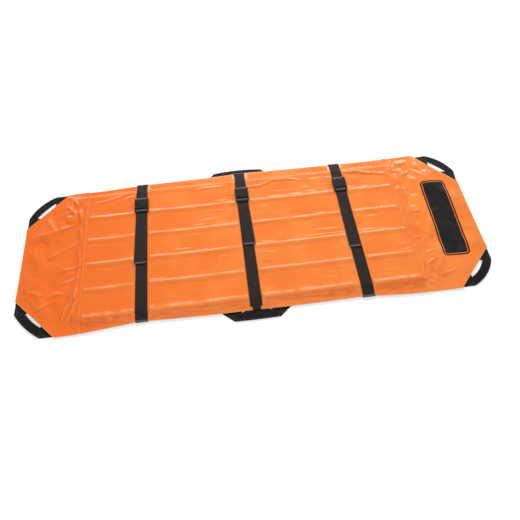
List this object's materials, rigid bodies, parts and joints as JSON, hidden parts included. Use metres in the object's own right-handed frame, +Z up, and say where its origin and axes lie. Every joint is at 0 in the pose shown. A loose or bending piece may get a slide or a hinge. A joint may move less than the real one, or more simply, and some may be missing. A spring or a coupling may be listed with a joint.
{
  "type": "transport stretcher",
  "caption": "Flexible rescue stretcher: a folding vinyl deck with slats in lengthwise pockets, limp end flaps, webbing carrying handles and buckled patient straps.",
  "frame": {"origin": "on the ground under the middle of the spread-out stretcher, halfway along and halfway across its overall box", "axes": "+X along the stretcher towards the end with the printed panel, +Y across it towards the edge with the buckles, +Z up"},
  "size_m": [1.976, 0.783, 0.0293],
  "materials": {
    "orange_vinyl": "glossy vinyl-coated fabric",
    "vinyl_underside": "duller back of the vinyl-coated fabric",
    "slat_plywood": "plain sanded plywood",
    "black_webbing": "woven polyester webbing",
    "buckle_plastic": "moulded acetal, satin"
  },
  "bodies": {
    "centre": {"slat_centre": "slat_plywood", "base_sheet_centre": "vinyl_underside", "top_sheet_centre": "orange_vinyl", "strap_left_long": "black_webbing", "strap_middle_long": "black_webbing", "strap_right_long": "black_webbing"},
    "inner_far": {"slat_inner_far": "slat_plywood", "base_sheet_inner_far": "vinyl_underside", "top_sheet_inner_far": "orange_vinyl"},
    "outer_far": {"slat_outer_far": "slat_plywood", "base_sheet_outer_far": "vinyl_underside", "top_sheet_outer_far": "orange_vinyl", "strap_left_far_anchor": "black_webbing", "strap_left_short": "black_webbing", "strap_left_plug": "buckle_plastic", "strap_middle_far_anchor": "black_webbing", "strap_middle_short": "black_webbing", "strap_middle_plug": "buckle_plastic", "strap_right_far_anchor": "black_webbing", "strap_right_short": "black_webbing", "strap_right_plug": "buckle_plastic"},
    "inner_near": {"slat_inner_near": "slat_plywood", "base_sheet_inner_near": "vinyl_underside", "top_sheet_inner_near": "orange_vinyl"},
    "outer_near": {"slat_outer_near": "slat_plywood", "base_sheet_outer_near": "vinyl_underside", "top_sheet_outer_near": "orange_vinyl", "strap_left_near_anchor": "black_webbing", "strap_middle_near_anchor": "black_webbing", "strap_right_near_anchor": "black_webbing"},
    "left_flap_outer_far": {"left_flap_outer_far": "orange_vinyl"},
    "left_flap_inner_far": {"left_flap_inner_far": "orange_vinyl"},
    "left_flap_centre": {"left_flap_centre": "orange_vinyl"},
    "left_flap_inner_near": {"left_flap_inner_near": "orange_vinyl"},
    "left_flap_outer_near": {"left_flap_outer_near": "orange_vinyl"},
    "right_flap_outer_far": {"right_flap_outer_far": "orange_vinyl"},
    "right_flap_inner_far": {"right_flap_inner_far": "orange_vinyl"},
    "right_flap_centre": {"right_flap_centre": "orange_vinyl"},
    "right_flap_inner_near": {"right_flap_inner_near": "orange_vinyl"},
    "right_flap_outer_near": {"right_flap_outer_near": "orange_vinyl"},
    "handle_left_far": {"handle_left_far": "black_webbing"},
    "handle_left_near": {"handle_left_near": "black_webbing"},
    "handle_right_far": {"handle_right_far": "black_webbing"},
    "handle_right_near": {"handle_right_near": "black_webbing"},
    "handle_side_far": {"handle_side_far": "black_webbing"},
    "handle_side_near": {"handle_side_near": "black_webbing"},
    "left_socket": {"strap_left_socket": "buckle_plastic"},
    "left_prong_left": {"strap_left_prong_left": "buckle_plastic"},
    "left_prong_right": {"strap_left_prong_right": "buckle_plastic"},
    "middle_socket": {"strap_middle_socket": "buckle_plastic"},
    "middle_prong_left": {"strap_middle_prong_left": "buckle_plastic"},
    "middle_prong_right": {"strap_middle_prong_right": "buckle_plastic"},
    "right_socket": {"strap_right_socket": "buckle_plastic"},
    "right_prong_left": {"strap_right_prong_left": "buckle_plastic"},
    "right_prong_right": {"strap_right_prong_right": "buckle_plastic"}
  },
  "joints": [
    {"name": "fold_inner_far", "type": "hinge", "parent": "centre", "child": "inner_far", "pos_m": [-0.023, 0.0595, 0.0159], "axis": [-1, 0, 0], "range_deg": [-60, 0], "deforming": ["strap_left_long", "strap_middle_long", "strap_right_long"]},
    {"name": "fold_outer_far", "type": "hinge", "parent": "inner_far", "child": "outer_far", "pos_m": [-0.023, 0.1785, 0.0159], "axis": [-1, 0, 0], "range_deg": [-60, 0]},
    {"name": "fold_inner_near", "type": "hinge", "parent": "centre", "child": "inner_near", "pos_m": [-0.023, -0.0595, 0.0159], "axis": [1, 0, 0], "range_deg": [-60, 0]},
    {"name": "fold_outer_near", "type": "hinge", "parent": "inner_near", "child": "outer_near", "pos_m": [-0.023, -0.1785, 0.0159], "axis": [1, 0, 0], "range_deg": [-60, 0]},
    {"name": "left_flap_fold", "type": "hinge", "parent": "centre", "child": "left_flap_centre", "pos_m": [-0.717, 0, 0.0159], "axis": [0, 1, 0], "range_deg": [0, 165]},
    {"name": "left_flap_fold_inner_far", "type": "hinge", "parent": "inner_far", "child": "left_flap_inner_far", "pos_m": [-0.717, 0.119, 0.0159], "axis": [0, 1, 0], "range_deg": [0, 165]},
    {"name": "left_flap_fold_outer_far", "type": "hinge", "parent": "outer_far", "child": "left_flap_outer_far", "pos_m": [-0.717, 0.238, 0.0159], "axis": [0, 1, 0], "range_deg": [0, 165]},
    {"name": "left_flap_fold_inner_near", "type": "hinge", "parent": "inner_near", "child": "left_flap_inner_near", "pos_m": [-0.717, -0.119, 0.0159], "axis": [0, 1, 0], "range_deg": [0, 165]},
    {"name": "left_flap_fold_outer_near", "type": "hinge", "parent": "outer_near", "child": "left_flap_outer_near", "pos_m": [-0.717, -0.238, 0.0159], "axis": [0, 1, 0], "range_deg": [0, 165]},
    {"name": "right_flap_fold", "type": "hinge", "parent": "centre", "child": "right_flap_centre", "pos_m": [0.671, 0, 0.0159], "axis": [0, -1, 0], "range_deg": [0, 165]},
    {"name": "right_flap_fold_inner_far", "type": "hinge", "parent": "inner_far", "child": "right_flap_inner_far", "pos_m": [0.671, 0.119, 0.0159], "axis": [0, -1, 0], "range_deg": [0, 165]},
    {"name": "right_flap_fold_outer_far", "type": "hinge", "parent": "outer_far", "child": "right_flap_outer_far", "pos_m": [0.671, 0.238, 0.0159], "axis": [0, -1, 0], "range_deg": [0, 165]},
    {"name": "right_flap_fold_inner_near", "type": "hinge", "parent": "inner_near", "child": "right_flap_inner_near", "pos_m": [0.671, -0.119, 0.0159], "axis": [0, -1, 0], "range_deg": [0, 165]},
    {"name": "right_flap_fold_outer_near", "type": "hinge", "parent": "outer_near", "child": "right_flap_outer_near", "pos_m": [0.671, -0.238, 0.0159], "axis": [0, -1, 0], "range_deg": [0, 165]},
    {"name": "handle_left_far_swing", "type": "hinge", "parent": "left_flap_outer_far", "child": "handle_left_far", "pos_m": [-0.9035, 0.2695, 0.0026], "axis": [-0.7029, -0.7113, 0], "range_deg": [-150, 0]},
    {"name": "handle_left_near_swing", "type": "hinge", "parent": "left_flap_outer_near", "child": "handle_left_near", "pos_m": [-0.9035, -0.2695, 0.0026], "axis": [0.7029, -0.7113, 0], "range_deg": [-150, 0]},
    {"name": "handle_right_far_swing", "type": "hinge", "parent": "right_flap_outer_far", "child": "handle_right_far", "pos_m": [0.9035, 0.2695, 0.0026], "axis": [-0.7029, 0.7113, 0], "range_deg": [-150, 0]},
    {"name": "handle_right_near_swing", "type": "hinge", "parent": "right_flap_outer_near", "child": "handle_right_near", "pos_m": [0.9035, -0.2695, 0.0026], "axis": [0.7029, 0.7113, 0], "range_deg": [-150, 0]},
    {"name": "handle_side_far_swing", "type": "hinge", "parent": "outer_far", "child": "handle_side_far", "pos_m": [-0.023, 0.345, 0.005], "axis": [-1, 0, 0], "range_deg": [-150, 0]},
    {"name": "handle_side_near_swing", "type": "hinge", "parent": "outer_near", "child": "handle_side_near", "pos_m": [-0.023, -0.345, 0.005], "axis": [1, 0, 0], "range_deg": [-150, 0]},
    {"name": "left_buckle_release", "type": "slide", "parent": "outer_far", "child": "left_socket", "axis": [0, 1, 0], "range_m": [0, 0.032], "deforming": ["strap_left_short", "strap_left_prong_left", "strap_left_prong_right"]},
    {"name": "left_prong_squeeze", "type": "hinge", "parent": "outer_far", "child": "left_prong_left", "pos_m": [-0.495, 0.2166, 0.0238], "axis": [0, 0, -1], "range_deg": [0, 10], "stiffness_Nm_per_rad": 0.3},
    {"name": "left_prong_squeeze_right", "type": "hinge", "parent": "outer_far", "child": "left_prong_right", "pos_m": [-0.462, 0.2166, 0.0238], "axis": [0, 0, 1], "range_deg": [0, 10], "stiffness_Nm_per_rad": 0.3},
    {"name": "middle_buckle_release", "type": "slide", "parent": "outer_far", "child": "middle_socket", "axis": [0, 1, 0], "range_m": [0, 0.032], "deforming": ["strap_middle_short", "strap_middle_prong_left", "strap_middle_prong_right"]},
    {"name": "middle_prong_squeeze", "type": "hinge", "parent": "outer_far", "child": "middle_prong_left", "pos_m": [-0.0395, 0.2166, 0.0238], "axis": [0, 0, -1], "range_deg": [0, 10], "stiffness_Nm_per_rad": 0.3},
    {"name": "middle_prong_squeeze_right", "type": "hinge", "parent": "outer_far", "child": "middle_prong_right", "pos_m": [-0.0065, 0.2166, 0.0238], "axis": [0, 0, 1], "range_deg": [0, 10], "stiffness_Nm_per_rad": 0.3},
    {"name": "right_buckle_release", "type": "slide", "parent": "outer_far", "child": "right_socket", "axis": [0, 1, 0], "range_m": [0, 0.032], "deforming": ["strap_right_short", "strap_right_prong_left", "strap_right_prong_right"]},
    {"name": "right_prong_squeeze", "type": "hinge", "parent": "outer_far", "child": "right_prong_left", "pos_m": [0.416, 0.2166, 0.0238], "axis": [0, 0, -1], "range_deg": [0, 10], "stiffness_Nm_per_rad": 0.3},
    {"name": "right_prong_squeeze_right", "type": "hinge", "parent": "outer_far", "child": "right_prong_right", "pos_m": [0.449, 0.2166, 0.0238], "axis": [0, 0, 1], "range_deg": [0, 10], "stiffness_Nm_per_rad": 0.3}
  ],
  "couplings": [
    {"joint": "left_flap_fold_inner_far", "follows": "left_flap_fold", "ratio": 1},
    {"joint": "left_flap_fold_outer_far", "follows": "left_flap_fold", "ratio": 1},
    {"joint": "left_flap_fold_inner_near", "follows": "left_flap_fold", "ratio": 1},
    {"joint": "left_flap_fold_outer_near", "follows": "left_flap_fold", "ratio": 1},
    {"joint": "right_flap_fold_inner_far", "follows": "right_flap_fold", "ratio": 1},
    {"joint": "right_flap_fold_outer_far", "follows": "right_flap_fold", "ratio": 1},
    {"joint": "right_flap_fold_inner_near", "follows": "right_flap_fold", "ratio": 1},
    {"joint": "right_flap_fold_outer_near", "follows": "right_flap_fold", "ratio": 1},
    {"joint": "left_prong_squeeze_right", "follows": "left_prong_squeeze", "ratio": 1},
    {"joint": "middle_prong_squeeze_right", "follows": "middle_prong_squeeze", "ratio": 1},
    {"joint": "right_prong_squeeze_right", "follows": "right_prong_squeeze", "ratio": 1}
  ]
}
